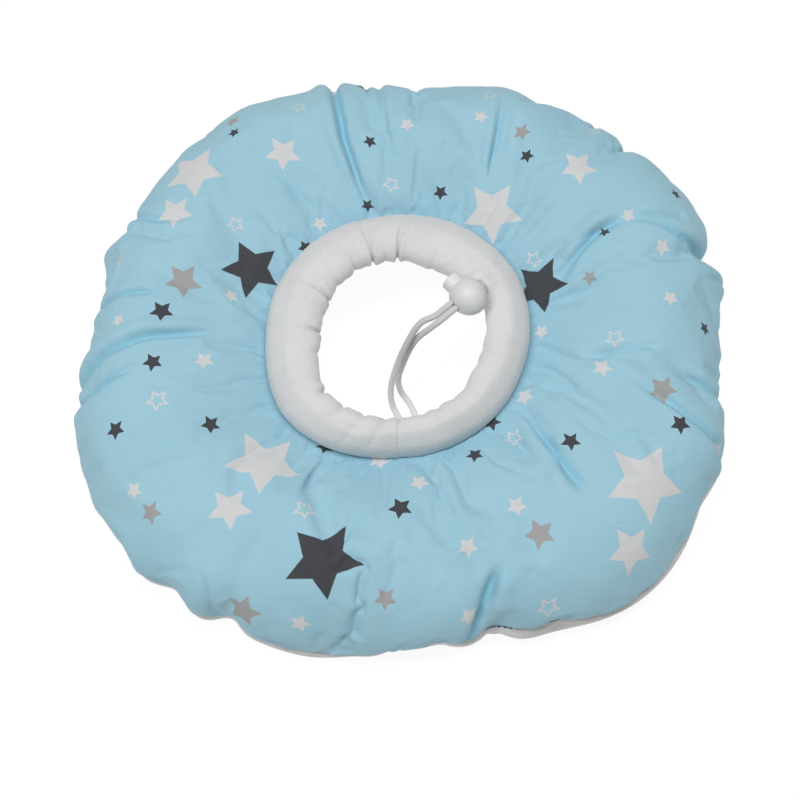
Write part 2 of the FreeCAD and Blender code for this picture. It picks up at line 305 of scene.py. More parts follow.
tail_left_line = spline_line(LEFT_ROUTE)
tail_right_line = spline_line(RIGHT_ROUTE)
tail_left = tube_mesh("tail_left", tail_left_line, CORD_D / 2)
tail_right = tube_mesh("tail_right", tail_right_line, CORD_D / 2)
knot_left = overhand_knot("knot_left_tied", tail_left_line[-1], tail_left_line[-1] - tail_left_line[-3])
knot_right = overhand_knot("knot_right_tied", tail_right_line[-1], tail_right_line[-1] - tail_right_line[-3])


# ---------------------------------------------------------------- form of the stuffed ring

# how the sewn edge leaves the plain rounded square: (degrees, mm, degrees wide)
# set by hand from outline differences that scratch programs measured on the photo
EDGE_CHANGES = [
    (145, -9.0, 13), (165, -3, 8), (130, -4, 5), (43, -7.5, 2.5), (52, -3.5, 4), (87, -1.5, 2.5),
    (98, -3, 3), (-74, -6, 4), (-83, -1.5, 4), (-9, -4.5, 6), (-122, -5, 3), (-162, 4, 6),
    (-106, 3, 12), (12, 3, 3), (29, 3.5, 5), (17, -6.5, 2.2), (23, 2, 3), (264, 1.2, 3), (162, 4, 3),
    (228, -2, 3), (204, 1.5, 3), (222, 2, 3), (70, 4.5, 7), (103, 3, 5), (152, -3, 8),
    (174, -3.6, 10), (-168, -1.5, 5), (-125, 2.5, 4), (-95, -1.2, 10), (-63, -3.5, 7), (-28, -4.8, 13),
    (2, -2, 7),
    (337, 2.5, 4), (186, 1.2, 5), (209, 2.4, 3),
]
SEAM_HEIGHT = [(0, 18), (60, 18), (120, 18), (180, 16), (225, 13), (265, 14), (290, 20), (325, 22), (345, 20)]
WHITE_BULGE = [(0, 0.2), (120, -0.6), (200, 0.2), (240, 0.6), (265, 0.5), (285, 0.9), (330, 0.8), (350, 0.4)]

# soft creases: [(degrees, radius) ...], depth, width, lean to one side
# nearly half of these points follow ones that a scratch program worked out from the photo
FOLDS = [
    ([(103.6, 170), (106, 123), (106.7, 109), (106, 88), (104.4, 70)], 4.2, 3.3, 0.5),
    ([(95.6, 150), (95.4, 125), (95.2, 99)], 1.6, 2.4, -0.3),
    ([(69.8, 147), (66.5, 120), (64.5, 104), (62, 86)], 2.8, 2.4, 0.6),
    ([(18, 74), (23, 88), (26.5, 101), (27.5, 115), (26.5, 127)], 3.8, 3.4, -0.6),
    ([(27, 120), (25.5, 135), (24, 152)], 1.6, 3.2, -0.5),
    ([(27, 122), (23, 138), (19.5, 148), (16.5, 162), (16.5, 170)], 3.0, 3.0, 0.4),
    ([(175.5, 162), (173.2, 140), (172.6, 118)], 2.6, 2.5, 0.5),
    ([(-170, 168), (-175.5, 136), (-177, 109), (-178.5, 84)], 3.4, 3.4, -0.6),
    ([(-167.5, 170), (-168, 152), (-170.4, 124)], 3.2, 3, 0.5),
    ([(-34.5, 67), (-39.5, 80), (-43, 95), (-45.5, 112), (-45.5, 124)], 3.6, 4.0, 0.5),
    ([(-70, 126), (-74, 137), (-80.5, 154)], 4, 4.0, -0.6),
    ([(-122.5, 168), (-124.5, 161), (-129, 150)], 1.4, 2.6, 0.3),
    ([(-121.5, 166), (-121, 150)], 0.8, 2.6, 0.4),
    ([(-120.5, 79), (-118.6, 104)], 1, 2.5, 0.3),
    ([(43, 166), (43.2, 140)], 2.6, 2.2, 0.5),
    ([(51, 168), (50, 142)], 1.8, 2.2, 0.5),
    ([(98.4, 150), (98, 124)], 1.6, 1.9, 0.3),
    ([(12, 172), (11, 146)], 1.8, 2.5, 0.5),
    ([(-12, 168), (-11, 120)], 2.2, 3.3, 0.4),
    ([(-22, 168), (-19, 138), (-15, 112)], 2.4, 3.1, -0.5),
    ([(153, 160), (155, 140), (150, 118)], 1.8, 3.4, 0.4),
    ([(-5, 130), (-9, 100), (-14, 78)], 1.4, 3.4, -0.4),
    ([(128, 118), (126, 96), (121, 76)], 0.9, 3.4, 0.4),
    ([(-104, 148), (-107, 166)], 0.6, 3, 0.4),
    ([(-32, 108), (-26, 128)], 1.1, 3.4, 0.4),
]


# BAND_OUTER, below, less 1.4 to 2.4 mm
NECK_SEAM = [(5, 62.5), (20, 64), (31, 66), (52, 67), (66, 67.5), (90, 66.5), (132, 67), (159, 66),
             (176, 64.5),
             (190, 65), (204, 66.5), (218, 67), (235, 65), (246, 63), (257, 61), (270, 59.5), (300, 59),
             (321, 59.5), (341, 60)]


HALF_LONG, HALF_SHORT, SQUARENESS = 161, 150.5, 2.55


def outline_r(deg):
    t = np.radians(deg)
    plain = ((np.abs(np.cos(t)) / HALF_LONG) ** SQUARENESS
             + (np.abs(np.sin(t)) / HALF_SHORT) ** SQUARENESS) ** (-1 / SQUARENESS)
    for centre, change, wide in EDGE_CHANGES:
        plain = plain + change * np.exp(-(off(deg, centre) / wide) ** 2)
    return plain


def place(deg, section):
    """Section points (r, z) at an angle, drawn towards the neck's own centre at their inner end."""
    t = math.radians(deg)
    outer = float(outline_r(np.array(deg)))
    share = np.clip((outer - section[:, 0]) / (outer - NECK_SEAM_R), 0, 1)
    x = section[:, 0] * math.cos(t) + NECK[0] * share
    y = section[:, 0] * math.sin(t) + NECK[1] * share
    return np.stack([x, y, section[:, 1]], -1)


def ring_sections(degs, n_top, n_back):
    """Top cloth from the outer seam to the neck seam, and the back cloth from there round to it."""
    tops, backs, lengths = [], [], []
    for deg in degs:
        r = float(outline_r(np.array(deg)))
        seam = float(around(SEAM_HEIGHT, deg))
        bulge = float(around(WHITE_BULGE, deg))
        neck = float(around(NECK_SEAM, deg))
        crest = 32 + 0.52 * r
        top = smooth_line([(r - 1.0, seam + 0.5), (r + 0.1, seam + 3.2), (r - 3.2, 31), (r - 15, 44.4),
                           (r - 31, 53), (crest, 56.8), (crest - 13, 54.6), (crest - 24, 49.8),
                           (crest - 34, 44), (neck + 4, 38.6), (neck, 37.0)])
        back = smooth_line([(neck, 36.5), (neck + 3, 27), (72.5, 15), (82, 4), (96, 0.3), (r - 27, 0.3),
                            (r - 10, 0.14 * seam), (r - 1.6 + bulge * 0.4, 0.48 * seam),
                            (r - 0.5 + bulge, seam - 2.6), (r - 1.0, seam - 0.3)])
        top, distance = even(place(deg, top), n_top)
        back, _ = even(place(deg, back), n_back)
        tops.append(top)
        backs.append(back)
        lengths.append(distance[-1] - distance)
    return np.array(tops), np.array(backs), np.array(lengths)


def inflate(name, grid, pinned_rows, pressure, spread, cap, floor=None):
    """Cloth under inside pressure: a grid closed both ways, moved by at most cap."""
    n_round, n_rows = grid.shape[:2]
    i, j = np.meshgrid(np.arange(n_round), np.arange(n_rows), indexing="ij")
    quads = np.stack([i * n_rows + j, ((i + 1) % n_round) * n_rows + j,
                      ((i + 1) % n_round) * n_rows + (j + 1) % n_rows, i * n_rows + (j + 1) % n_rows], -1)
    piece = add_mesh(name, grid.reshape(-1, 3), quads.reshape(-1, 4).tolist())
    pins = piece.vertex_groups.new(name="pin")
    rows = np.isin(j, pinned_rows).ravel()
    pins.add(np.nonzero(rows)[0].tolist(), 1.0, "REPLACE")
    cloth = piece.modifiers.new("cloth", "CLOTH")
    cloth.settings.vertex_group_mass = "pin"
    cloth.settings.use_pressure = True
    cloth.settings.uniform_pressure_force = pressure
    cloth.settings.shrink_min = -spread
    cloth.settings.effector_weights.gravity = 0
    cloth.collision_settings.use_collision = False
    cloth.point_cache.frame_start = 1
    cloth.point_cache.frame_end = 20
    for number in range(1, 21):
        scene.frame_set(number)
    evaluated = piece.evaluated_get(bpy.context.evaluated_depsgraph_get())
    moved = np.zeros(n_round * n_rows * 3, np.float32)
    evaluated.data.vertices.foreach_get("co", moved)
    scene.frame_set(1)
    bpy.data.objects.remove(piece)
    shift = moved.reshape(grid.shape) / MM - grid
    size = np.linalg.norm(shift, axis=-1, keepdims=True)
    shift = shift * np.minimum(1, cap / np.maximum(size, 1e-6))
    if floor is not None:
        shift[..., 2] = np.maximum(shift[..., 2], floor - grid[..., 2])
    return shift


def fold_lines(p, lengths, degs):
    """Depth of the creases at each point of the top cloth, and how far inside a crease it is, which sets the
    painted shade in the creases.
    """
    radius = np.hypot(p[..., 0], p[..., 1])
    angle = np.degrees(np.arctan2(p[..., 1], p[..., 0]))
    push, inside = np.zeros(radius.shape), np.zeros(radius.shape)
    for line, depth, width, lean in FOLDS:
        line = np.array(line, float)
        middle_r = line[:, 1].mean()
        column = [int(np.argmin(np.abs(off(degs, a)))) for a, _ in line]
        along = [float(np.interp(-r, -radius[c], lengths[c])) if r < radius[c].max() else lengths[c][0] + 4
                 for c, (_, r) in zip(column, line)]
        nodes = smooth_line(np.stack([np.radians(off(line[:, 0], line[0, 0])) * middle_r, along], -1), 6)
        x = np.radians(off(angle, line[0, 0])) * middle_r
        near = np.full(x.shape, 1e9)
        sign, share = np.zeros(x.shape), np.zeros(x.shape)
        total = len(nodes) - 1
        for k in range(total):
            a, b = nodes[k], nodes[k + 1]
            run = b - a
            t = ((x - a[0]) * run[0] + (lengths - a[1]) * run[1]) / (run @ run)
            t = np.clip(t, 0, 1)
            dx, dy = x - a[0] - run[0] * t, lengths - a[1] - run[1] * t
            d = np.hypot(dx, dy)
            better = d < near
            near = np.where(better, d, near)
            sign = np.where(better, np.sign(run[0] * dy - run[1] * dx), sign)
            share = np.where(better, (k + t) / total, share)
        open_end = line[:, 1].argmax() != 0
        if open_end:
            share = 1 - share
        fade = np.clip((1 - share) * 2.2, 0, 1)
        fade = fade * fade * (3 - 2 * fade)
        if line[:, 1].max() < 150:
            start = np.clip(share * 3.0, 0, 1)
            fade = fade * start * start * (3 - 2 * start)
        signed = near * sign
        valley = np.exp(-(near / (width * 0.62)) ** 2)
        left = np.exp(-((signed - 1.55 * width) / (1.15 * width)) ** 2)
        right = np.exp(-((signed + 1.55 * width) / (1.15 * width)) ** 2)
        push += depth * fade * (0.34 * (1 + lean) * left + 0.34 * (1 - lean) * right - valley)
        inside = np.maximum(inside, valley * fade * min(depth / 3.5, 1))
    return push, inside


def ripples(p, degs, lengths):
    """Small gathers that run in from the sewn edges, and slow unevenness of the filling."""
    t = np.radians(degs)[:, None]
    edge = np.zeros((len(degs), 1))
    neck = np.zeros((len(degs), 1))
    for k in range(26, 92, 3):
        edge = edge + math.sqrt(30 / k) * np.cos(k * t + random.uniform(0, 6.28)) * random.uniform(0.3, 1)
        neck = (neck + math.sqrt(30 / k) * np.cos((k - 9) * t + random.uniform(0, 6.28))
                * random.uniform(0.3, 1))
    total = lengths[:, :1]
    from_edge = total - lengths
    slow = np.zeros(p.shape[:2])
    for _ in range(14):
        direction = random.uniform(0, 6.28)
        scale = random.uniform(0.055, 0.15)
        slow += np.cos(scale * (p[..., 0] * math.cos(direction) + p[..., 1] * math.sin(direction))
                       + random.uniform(0, 6.28))
    return (0.20 * edge * np.exp(-from_edge / 17) * np.clip(from_edge / 4, 0, 1)
            + 0.10 * neck * np.exp(-lengths / 12) * np.clip(lengths / 3, 0, 1)
            + 0.16 * slow)


N_ROUND, N_TOP, N_BACK = 760, 92, 56
SIM_ROUND, SIM_TOP, SIM_BACK = 250, 36, 24
fine_degs = np.arange(N_ROUND) * 360 / N_ROUND
fine_top, fine_back, fine_lengths = ring_sections(fine_degs, N_TOP, N_BACK)

sim_degs = np.arange(SIM_ROUND) * 360 / SIM_ROUND
sim_top, sim_back, _ = ring_sections(sim_degs, SIM_TOP, SIM_BACK)
loop = np.concatenate([sim_top, sim_back[:, 1:-1]], 1)
shift = inflate("ring_cloth", loop, [0, SIM_TOP - 1], 4.0, 0.035, 5.0, floor=0.25)
top_shift = shift[:, :SIM_TOP]
back_shift = np.concatenate([shift[:, SIM_TOP - 1:], shift[:, :1]], 1)
for part, fine, rows in ((top_shift, "top", N_TOP), (back_shift, "back", N_BACK)):
    grown = finer(finer(part, rows, 1, False), N_ROUND, 0, True)
    if fine == "top":
        fine_top = fine_top + grown
    else:
        fine_back = fine_back + grown
        fine_back[..., 2] = np.maximum(fine_back[..., 2], 0.25)

plain_top, plain_back = fine_top, fine_back
fold_push, crease_shade_mask = fold_lines(fine_top, fine_lengths, fine_degs)
edge_fade = np.clip((fine_lengths[:, :1] - fine_lengths) / 16, 0.1, 1) * np.clip(fine_lengths / 3, 0, 1)
push = fold_push * edge_fade + ripples(fine_top, fine_degs, fine_lengths)
fine_top = fine_top + grid_normals(fine_top) * push[..., None]
fine_top[:, 0] = 0.5 * (fine_top[:, 0] + fine_back[:, -1]) + [0, 0, 0.3]
fine_top[..., 2] = np.maximum(fine_top[..., 2], 0.6)


# ---------------------------------------------------------------- star print

# (degrees, radius, star radius, kind): 1 dark, 2 grey, 3 white, 4 white outline
# the places began as the output of a scratch program, from points picked on the photo, rounded,
# and many were then moved by eye
STARS = [
    (-107.5, 124.5, 18.5, 1), (156, 84, 15.5, 1), (21, 72, 15, 1),
    (-36, 137.5, 20, 3), (-133.5, 96.5, 18.4, 3), (141.5, 138, 16.5, 3), (56.3, 79.5, 16, 3),
    (-47.3, 152.5, 12, 3), (-130.5, 124.5, 10.5, 3), (123, 115, 9.5, 3), (44.2, 122, 9.8, 3),
    (152, 131, 9.5, 3),
    (-60, 122.5, 7.5, 2), (-118.5, 157, 9.3, 2), (168, 112, 9.5, 2), (61, 123.5, 5, 2), (-16, 127, 7, 2),
    (-94, 135, 5.5, 2), (-141.2, 151.5, 6, 2), (15.5, 94, 4, 2), (127, 149.5, 4.5, 2), (16, 161, 4, 2),
    (177.5, 118.5, 6, 1), (-170, 123, 5, 1), (-158.2, 147.5, 5, 1), (-150.5, 106, 5, 1), (129, 140.5, 3.5, 1),
    (99, 144, 3.6, 1), (100, 105, 3.6, 1), (105, 75, 3.5, 1), (77, 80, 4, 1), (56.5, 112, 4, 1),
    (29, 158, 3.6, 1), (0.5, 147, 4, 1), (-22, 139.5, 5, 1), (-38.2, 98.5, 5, 1), (-63, 72, 4.5, 1),
    (-47.5, 61.5, 5, 1), (-91.6, 93.5, 6, 1), (26.5, 110.5, 3.2, 1), (136, 71, 4, 1), (-124, 70, 4.5, 1),
    (175, 158, 4.5, 1), (99.3, 163, 3.6, 1),
    (105.5, 145.5, 3.6, 3), (89.6, 111.5, 4, 3), (71.6, 123, 4, 3), (125, 76.5, 4, 3), (27.5, 125, 4, 3),
    (18, 133.5, 4.4, 3), (5.5, 129.5, 4.4, 3), (-14, 97, 5, 3), (-30, 67, 5, 3), (1, 67, 4, 3),
    (-61, 105.5, 5, 3), (-85.5, 79.5, 5, 3), (-76, 116, 5, 3), (-78.6, 145, 5, 3), (-108.7, 151.5, 5, 3),
    (-146.4, 152, 4.5, 3), (-169, 99, 5, 3), (168, 88, 4, 3), (179, 140, 4, 3), (-101, 67, 5.5, 3),
    (107, 165, 3.2, 3), (-21, 161, 5.5, 3), (-147, 168, 5, 3), (-158, 169, 5, 3),
    (114, 136.5, 4.5, 4), (71.4, 139.5, 4.2, 4), (49, 150, 4, 4), (95, 82, 4.5, 4), (32, 76, 4.5, 4),
    (-5, 101, 5, 4), (-47, 75.5, 5, 4), (-64.5, 151.5, 6, 4), (-132.2, 165, 5, 4), (-116.3, 105.5, 5.5, 4),
    (-160.6, 124.5, 6, 4), (165, 148, 4, 4), (-177, 158, 5, 4), (146.5, 102.5, 4.6, 4),
]

# how far some stars are turned on the print, in degrees; the others are turned a little at random
STAR_TURNS = {(-107.5, 124.5): 4, (156, 84): -8, (21, 72): 12, (-36, 137.5): 7, (-133.5, 96.5): -6,
              (141.5, 138): 8, (56.3, 79.5): 0, (-47.3, 152.5): 3, (-130.5, 124.5): 4, (123, 115): 0,
              (44.2, 122): 4, (168, 112): 2}


def star_print(piece, degs, base, lengths):
    """Each face's nearest star: a corner's place in that star, in star radii, and the star's kind."""
    radius = np.hypot(base[..., 0], base[..., 1])
    angle = np.degrees(np.arctan2(base[..., 1], base[..., 0]))
    owner = np.full(radius.shape, -1)
    best = np.full(radius.shape, 1.9)
    local = np.zeros(radius.shape + (len(STARS), 2), np.float32)
    for k, (deg, r, size, _) in enumerate(STARS):
        column = int(np.argmin(np.abs(off(degs, deg))))
        inner = float(np.interp(-min(r, radius[column].max() - 0.2), -radius[column], lengths[column]))
        turn = np.radians(off(angle, deg))
        x = np.sin(turn) * radius
        y = (lengths - inner) - radius * (1 - np.cos(turn))
        jitter = -math.radians(STAR_TURNS.get((deg, r), random.uniform(-12, 12)))
        heading = math.radians(deg) + jitter
        gx = (y * math.cos(heading) - x * math.sin(heading)) / size
        gy = (y * math.sin(heading) + x * math.cos(heading)) / size
        local[..., k, 0], local[..., k, 1] = gx, gy
        d = np.hypot(gx, gy)
        d = np.where(np.abs(turn) > 1.2, 9, d)
        better = d < best
        best = np.where(better, d, best)
        owner = np.where(better, k, owner)
    n_rows = base.shape[1]
    loops = loop_vertices(piece).reshape(-1, 4)
    flat_owner = owner.ravel()
    flat_best = best.ravel()
    pick = loops[np.arange(len(loops)), flat_best[loops].argmin(1)]
    star = flat_owner[pick]
    flat_local = local.reshape(-1, len(STARS), 2)
    safe = np.maximum(star, 0)
    values = np.zeros(loops.shape + (3,), np.float32)
    values[..., :2] = flat_local[loops, safe[:, None]]
    kinds = np.array([s[3] for s in STARS])[safe]
    values[..., 2] = np.where(star >= 0, kinds, 0)[:, None]
    corner_vectors(piece, "star", values.reshape(-1, 3))


# ---------------------------------------------------------------- pieces of the stuffed ring

def flat_coordinates(base, lengths):
    """Where each point lies on the flat cut cloth, in metres, with the threads along X and Y."""
    t = np.arctan2(base[..., 1], base[..., 0])
    flat_r = NECK_SEAM_R + lengths
    return np.stack([flat_r * np.cos(t), flat_r * np.sin(t), np.zeros(t.shape)], -1) * MM


top_cover = add_mesh("top_cover_cloth", fine_top.reshape(-1, 3), strip_faces(N_ROUND, N_TOP))
star_print(top_cover, fine_degs, fine_top, fine_lengths)
point_vectors(top_cover, "flat", flat_coordinates(fine_top, fine_lengths).reshape(-1, 3))
# painted shade in the creases: how deep in a crease each point lies
point_values(top_cover, "crease", crease_shade_mask)
# painted shade: how much the top cloth is darkened, growing towards the neck band
point_values(top_cover, "neck_painted_shade", np.exp(-fine_lengths / 16))

back_steps = np.linalg.norm(np.diff(fine_back, axis=1), axis=-1)
back_lengths = np.concatenate([np.zeros((N_ROUND, 1)), np.cumsum(back_steps, 1)], 1)
fine_back[:, 0] = fine_top[:, -1] - [0, 0, 0.6]
back_cover = add_mesh("back_cover_cloth", fine_back.reshape(-1, 3), strip_faces(N_ROUND, N_BACK))
point_vectors(back_cover, "flat", flat_coordinates(fine_back, back_lengths).reshape(-1, 3))

# the loose fibre inside, clear of the deepest crease
FIBRE_INSET = 6.5
top_inset, back_inset = (p - FIBRE_INSET * grid_normals(p) for p in (plain_top, plain_back))
inner_loop = np.concatenate([top_inset[::4, 4:-6:4], back_inset[::4, 6:-4:4]], 1)
inner_loop = np.concatenate([inner_loop, inner_loop[:, :1]], 1)
rounds, rows = inner_loop.shape[:2]
ids = np.arange(rounds * (rows - 1)).reshape(rounds, rows - 1)
nxt = np.roll(ids, -1, 0)
quads = np.stack([ids, nxt, np.roll(nxt, -1, 1), np.roll(ids, -1, 1)], -1).reshape(-1, 4).tolist()
filling = add_mesh("fibre_filling", inner_loop[:, :-1].reshape(-1, 3), quads)


# ---------------------------------------------------------------- neck band

# most of BAND_OUTER and about half of BAND_INNER follow what a scratch program worked out from
# points picked on the photo
BAND_INNER = [(0, 41.5), (24, 43.5), (50, 40), (70, 38.5), (90, 41.2), (98, 40.8), (109, 41.2), (118, 41.5),
              (130, 40.6), (142, 40.2), (157, 38.6), (172, 38.6), (188, 39.3), (203, 42.4), (219, 47.2),
              (227, 47), (247, 46.5), (262, 45.5), (276, 44.7), (295, 42.9), (314, 42.5), (327, 40),
              (349, 40.3)]
BAND_OUTER = [(6, 64.4), (19, 66.2), (31, 68), (52, 69), (66, 69.6), (90, 68.4), (102, 67.8), (116, 69),
              (132, 69), (147, 68.2), (159, 67.8), (176, 66.3), (190, 66.8), (204, 68.5), (213, 69.6),
              (222, 69), (235, 67.2), (246, 65), (257, 62.6), (270, 60.9), (300, 60.4), (321, 61),
              (341, 61.4), (352, 62.6)]
# pleats: degrees at the crown, degrees at the inner edge, depth, degrees wide, reach from the inner edge
# more than half of the angles come from the same scratch program
PLEATS = [
    (108, 109, 2.6, 1.5, 0.85), (87, 92, 2.6, 1.5, 0.85), (100, 100.5, 0.5, 2.0, 0.4),
    (120, 122, 0.9, 3.2, 0.35),
    (137, 139, 0.8, 3.2, 0.35), (149, 153, 2.4, 2.2, 0.45), (179, 180, 2.2, 2.0, 0.38),
    (-165, -165, 0.7, 4.0, 0.35), (-137, -139, 2.0, 2.4, 0.30), (-128, -124, 1.2, 2.4, 0.60),
    (-117, -111, 1.0, 2.8, 0.95), (-106, -98, 0.9, 2.8, 0.95), (-91, -91, 1.2, 1.2, 0.62),
    (-78, -76, 0.5, 3.0, 0.35), (-64, -66, 0.7, 3.0, 0.35), (-52, -55, 0.6, 3.0, 0.35),
    (44, 40, 1.6, 2.2, 0.50), (66, 67, 0.4, 3.0, 0.35),
]
BAND_ROUND, BAND_ROWS = 420, 52
BAND_SIM_ROUND, BAND_SIM_ROWS = 150, 26
END_SEAM_DEG = 268.0


def band_sections(degs, rows):
    """A stuffed-looking tube of folded fleece, sewn down along its outer lower edge."""
    grid = []
    for deg in degs:
        inner, outer = float(around(BAND_INNER, deg)), float(around(BAND_OUTER, deg))
        middle = 0.5 * (inner + outer)
        neck = float(around(NECK_SEAM, deg))
        wide = outer - inner
        section = smooth_line([(neck + 0.9, 36.9), (outer - 0.01 * wide, 42.4), (outer - 0.09 * wide, 48.2),
                               (outer - 0.30 * wide, 53.0), (middle, 55.8), (inner + 0.26 * wide, 56.0),
                               (inner + 0.07 * wide, 53.4), (inner + 0.01 * wide, 49.0),
                               (inner + 0.08 * wide, 43.4), (middle - 2, 37.6), (neck - 6, 36.0),
                               (neck - 0.4, 36.2)])
        section, _ = even(section, rows)
        t = math.radians(deg)
        grid.append(np.stack([NECK[0] + section[:, 0] * math.cos(t), NECK[1] + section[:, 0] * math.sin(t),
                              section[:, 1]], -1))
    return np.array(grid)


def pleat_push(degs, rows):
    """Valleys and the soft rolls beside them, strongest at the inner edge."""
    place_along = np.linspace(0, 1, rows)
    edge_at = 0.56
    push = np.zeros((len(degs), rows))
    for crown, edge, depth, wide, reach in PLEATS:
        back_from_edge = (edge_at - place_along) / edge_at
        lead = np.clip(back_from_edge / 0.8, 0, 1)
        centre = edge + off(np.array(crown), edge) * lead
        up = np.clip(1 - np.maximum(back_from_edge, 0) / reach, 0, 1)
        down = np.clip(1 - np.maximum(place_along - edge_at, 0) / 0.36, 0, 1)
        weight = (up * up * (3 - 2 * up)) * (down * down * (3 - 2 * down))
        away = off(degs[:, None], centre[None, :])
        valley = np.exp(-(away / (wide * 0.6)) ** 2)
        left = np.exp(-((away - 1.6 * wide) / (1.2 * wide)) ** 2)
        right = np.exp(-((away + 1.6 * wide) / (1.2 * wide)) ** 2)
        push += depth * weight[None, :] * (0.32 * (left + right) - valley)
    return push


band_degs = np.arange(BAND_ROUND) * 360 / BAND_ROUND
band_grid = band_sections(band_degs, BAND_ROWS)
coarse_degs = np.arange(BAND_SIM_ROUND) * (360 / BAND_SIM_ROUND)
coarse = band_sections(coarse_degs, BAND_SIM_ROWS)
coarse = coarse - grid_normals(coarse) * 0.6
coarse_push = pleat_push(coarse_degs, BAND_SIM_ROWS) * 0.35
coarse = coarse + grid_normals(coarse) * coarse_push[..., None]
band_shift = inflate("band_cloth", coarse[:, :-1], [0, BAND_SIM_ROWS - 1], 4.0, 0.003, 0.6)
band_shift = 0.5 * band_shift + 0.25 * (np.roll(band_shift, 1, 0) + np.roll(band_shift, -1, 0))
band_shift = np.concatenate([band_shift, band_shift[:, :1]], 1)
band_grid = band_grid + finer(finer(band_shift, BAND_ROWS, 1, False), BAND_ROUND, 0, True)
band_normals = grid_normals(band_grid)
band_push = pleat_push(band_degs, BAND_ROWS)
behind_slit = np.linalg.norm(band_grid - (strand_point(-11.6, 0) - [0, 0, 2.0]), axis=-1)
band_push += 6.0 * np.exp(-(behind_slit / 4.9) ** 2)
for _ in range(16):
    k, row_k = random.integers(9, 46), random.uniform(0.5, 3.0)
    wave = np.cos(np.radians(band_degs)[:, None] * k + np.linspace(0, 1, BAND_ROWS)[None] * row_k * 3
                  + random.uniform(0, 6.28))
    band_push += 0.05 * wave * np.sin(np.linspace(0, math.pi, BAND_ROWS))[None]
band_grid = band_grid + band_normals * band_push[..., None]
channel_cord = tube_mesh("drawstring_in_channel", spline_line(channel_route(BAND_INNER), 6), CORD_D / 2, 10)
neck_band = add_mesh("neck_band_fleece", band_grid.reshape(-1, 3), strip_faces(BAND_ROUND, BAND_ROWS))
# painted shade in the pleat valleys: how far the fleece is pushed in
point_values(neck_band, "pleat", np.clip(-band_push / 2.0, 0, 1))


# ---------------------------------------------------------------- stitching

def stitch_mesh(name, runs, radius):
    """One thread: a short round-ended stitch along each (start, end) run."""
    points, faces = [], []
    sides = 6
    profile = [(0.0, 0.05), (0.12, 0.75), (0.3, 1.0), (0.7, 1.0), (0.88, 0.75), (1.0, 0.05)]
    for start, end in runs:
        start, end = np.asarray(start, float), np.asarray(end, float)
        run = end - start
        heading = run / np.linalg.norm(run)
        side = np.cross(heading, [0.2, 0.1, 1.0])
        side /= np.linalg.norm(side)
        up = np.cross(heading, side)
        base = len(points)
        for share, swell in profile:
            for k in range(sides):
                a = 2 * math.pi * k / sides
                points.append(start + run * share + radius * swell * (side * math.cos(a) + up * math.sin(a)))
        for i in range(len(profile) - 1):
            for k in range(sides):
                m = (k + 1) % sides
                faces.append([base + i * sides + k, base + i * sides + m,
                              base + (i + 1) * sides + m, base + (i + 1) * sides + k])
        faces.append([base + k for k in range(sides)][::-1])
        faces.append([base + (len(profile) - 1) * sides + k for k in range(sides)])
    return add_mesh(name, points, faces)


def stitches_along(line, pitch, share, closed=True):
    """Runs of thread along a line: share of each pitch is thread."""
    line = np.vstack([line, line[:1]]) if closed else line
    at = np.concatenate([[0], np.cumsum(np.linalg.norm(np.diff(line, axis=0), axis=1))])
    count = int(at[-1] / pitch)
    starts = np.arange(count) * at[-1] / count
    get = lambda s: np.stack([np.interp(s, at, line[:, k]) for k in range(3)], -1)
    return list(zip(get(starts), get(starts + pitch * share)))


seam_line = 0.5 * (fine_top[:, 0] + fine_back[:, -1])
outward = seam_line * [1, 1, 0]
outward /= np.linalg.norm(outward, axis=1, keepdims=True)
outer_stitches = stitch_mesh("outer_seam_thread", stitches_along(seam_line + outward * 0.15, 2.8, 0.8), 0.32)

neck_line = (fine_top[:, -1] - [*NECK, 0]) * [0.975, 0.975, 1] + [*NECK, -0.4]
neck_stitches = stitch_mesh("neck_seam_thread", stitches_along(neck_line, 2.8, 0.8), 0.32)

end_column = int(round(END_SEAM_DEG / 360 * BAND_ROUND))
end_rows = np.arange(5, 34)
end_line = band_grid[end_column, end_rows] + band_normals[end_column, end_rows] * 0.05
end_stitches = stitch_mesh("band_end_thread", stitches_along(end_line, 2.2, 0.75, closed=False), 0.28)

# the buttonhole lies where the two cords come out of the fleece
band_points, band_facing = band_grid.reshape(-1, 3), grid_normals(band_grid).reshape(-1, 3)
for slit in 0.5 * (tail_left_line[:50] + tail_right_line[:50]):
    nearest = int(((band_points - slit) ** 2).sum(1).argmin())
    hole_normal = band_facing[nearest]
    if (slit - band_points[nearest]) @ hole_normal > 0.3:
        break
hole_long = ACROSS - hole_normal * (ACROSS @ hole_normal)
hole_long /= np.linalg.norm(hole_long)
hole_wide = np.cross(hole_normal, hole_long)
HOLE_STITCHES = 26
hole_runs = []
for k in range(HOLE_STITCHES):
    a = 2 * math.pi * k / HOLE_STITCHES
    ring = [slit + hole_long * (s + 1.7) * math.cos(a) + hole_wide * s * math.sin(a) for s in (1.8, 2.7)]
    fitted = []
    for q in ring:
        near = np.argsort(((band_points - q) ** 2).sum(1))[:3]
        fitted.append(q + hole_normal * ((band_points[near] - q) @ hole_normal).mean() - hole_normal * 0.08)
    hole_runs.append((fitted[0], fitted[1]))
hole_stitches = stitch_mesh("buttonhole_thread", hole_runs, 0.24)


# ---------------------------------------------------------------- materials

